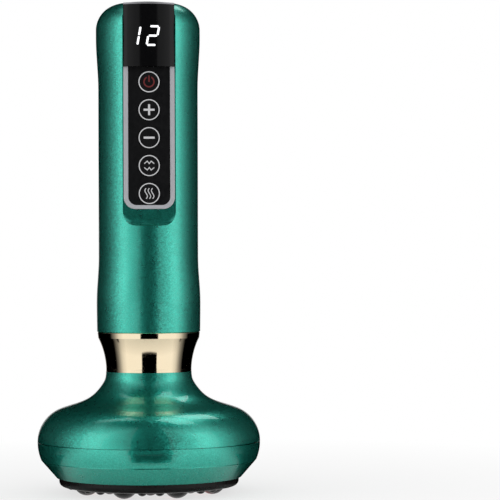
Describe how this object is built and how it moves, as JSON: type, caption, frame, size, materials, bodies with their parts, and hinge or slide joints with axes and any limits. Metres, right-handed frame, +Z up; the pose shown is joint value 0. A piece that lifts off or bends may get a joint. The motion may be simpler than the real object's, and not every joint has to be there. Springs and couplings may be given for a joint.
{
  "type": "electric cupping massager",
  "caption": "Handheld electric cupping massager: a round head with a ring of massage domes round a suction cup, a gold collar and an upright handle with a display and keys.",
  "frame": {"origin": "bottom centre: the point on the surface it stands on, on the axis of the head and handle", "axes": "+Z up along the handle, the key panel faces -Y, +X to the right of someone who faces the panel"},
  "size_m": [0.0974, 0.0974, 0.2139],
  "materials": {
    "green_lacquer": "metallic lacquer with fine flake over moulded plastic, high gloss",
    "champagne_gold": "polished and anodised to a warm champagne gold",
    "silver_plastic": "silver-painted moulded plastic, satin",
    "black_gloss": "black, high gloss, smoky where the digits sit",
    "black_satin": "black moulded plastic, satin",
    "grey_ink": "light grey printed relief",
    "dark_red_ink": "dark red printed relief",
    "digit_window": "milky light window, lit",
    "light_module": "dark moulded light module",
    "smoky_pad": "smoky charcoal, satin, lets red light through",
    "black_foam": "open-cell foam with fine speckles",
    "clear_red": "clear red light body, lit",
    "liner_plastic": "black moulded plastic",
    "inner_plastic": "natural white moulded plastic",
    "board": "green glass-fibre circuit board",
    "chip_black": "black moulded chip bodies",
    "cell_wrap": "blue shrink wrap",
    "soft_black": "black soft rubber",
    "soft_clear": "milky soft tube",
    "amber_film": "amber heating film",
    "steel": "bright steel",
    "zinc_steel": "zinc-plated steel",
    "bronze": "sintered bronze",
    "brass": "brass",
    "copper_winding": "enamelled copper winding",
    "ferrite": "dark ferrite"
  },
  "bodies": {
    "housing": {"handle_front_shell": "green_lacquer", "handle_rear_shell": "green_lacquer", "panel_bezel": "silver_plastic", "key_plate": "black_gloss", "display_lens": "black_gloss", "display_digits": "digit_window", "display_module": "light_module", "control_board": "board", "small_screws": "zinc_steel", "board_chips": "chip_black", "tact_switches": "chip_black", "battery_cell": "cell_wrap", "battery_tray": "inner_plastic", "charge_board": "board", "charge_inlet": "steel", "collar_ring": "champagne_gold", "neck_tube": "inner_plastic", "neck_screws": "zinc_steel", "bell_housing": "green_lacquer", "lower_ring": "green_lacquer", "head_screws": "zinc_steel", "massage_pad": "smoky_pad", "cup_gasket": "soft_black", "cup_liner": "liner_plastic", "liner_screws": "zinc_steel", "filter_sponge": "black_foam", "filter_grille": "liner_plastic", "led_board": "board", "red_lights": "clear_red", "heating_film": "amber_film", "suction_hose": "soft_clear", "valve_body": "inner_plastic", "valve_frame": "steel", "valve_coil": "copper_winding", "valve_spring": "steel", "pump_head": "inner_plastic", "pump_valve_plate": "inner_plastic", "pump_diaphragm": "soft_black", "pump_crankcase": "inner_plastic", "pump_sleeve": "soft_black", "motor_can": "zinc_steel", "motor_end_cap": "inner_plastic", "motor_terminals": "brass", "motor_bushes": "bronze", "motor_magnets": "ferrite"},
    "power_button": {"power_key": "black_satin", "power_legend": "dark_red_ink"},
    "plus_button": {"plus_key": "black_satin", "plus_legend": "grey_ink"},
    "minus_button": {"minus_key": "black_satin", "minus_legend": "grey_ink"},
    "mode_button": {"mode_key": "black_satin", "mode_legend": "grey_ink"},
    "heat_button": {"heat_key": "black_satin", "heat_legend": "grey_ink"},
    "pump_rotor": {"motor_armature": "steel", "crank_disc": "inner_plastic", "crank_pin": "steel"},
    "wobble": {"wobble_plate": "inner_plastic"},
    "release_plunger": {"valve_plunger": "steel"}
  },
  "joints": [
    {"name": "power_press", "type": "slide", "parent": "housing", "child": "power_button", "axis": [0, 1, 0], "range_m": [0, 0.0005], "stiffness_N_per_m": 600},
    {"name": "plus_press", "type": "slide", "parent": "housing", "child": "plus_button", "axis": [0, 1, 0], "range_m": [0, 0.0005], "stiffness_N_per_m": 600},
    {"name": "minus_press", "type": "slide", "parent": "housing", "child": "minus_button", "axis": [0, 1, 0], "range_m": [0, 0.0005], "stiffness_N_per_m": 600},
    {"name": "mode_press", "type": "slide", "parent": "housing", "child": "mode_button", "axis": [0, 1, 0], "range_m": [0, 0.0005], "stiffness_N_per_m": 600},
    {"name": "heat_press", "type": "slide", "parent": "housing", "child": "heat_button", "axis": [0, 1, 0], "range_m": [0, 0.0005], "stiffness_N_per_m": 600},
    {"name": "pump_spin", "type": "hinge", "parent": "housing", "child": "pump_rotor", "pos_m": [0, 0, 0.09], "axis": [0, 0, 1], "continuous": true},
    {"name": "wobble_turn", "type": "hinge", "parent": "pump_rotor", "child": "wobble", "pos_m": [0, 0, 0.0667], "axis": [0.1045, 0, 0.9945], "continuous": true},
    {"name": "valve_lift", "type": "slide", "parent": "housing", "child": "release_plunger", "axis": [0, 0, 1], "range_m": [0, 0.001], "stiffness_N_per_m": 150, "deforming": ["valve_spring"]}
  ],
  "couplings": [
    {"joint": "wobble_turn", "follows": "pump_spin", "ratio": -1}
  ]
}
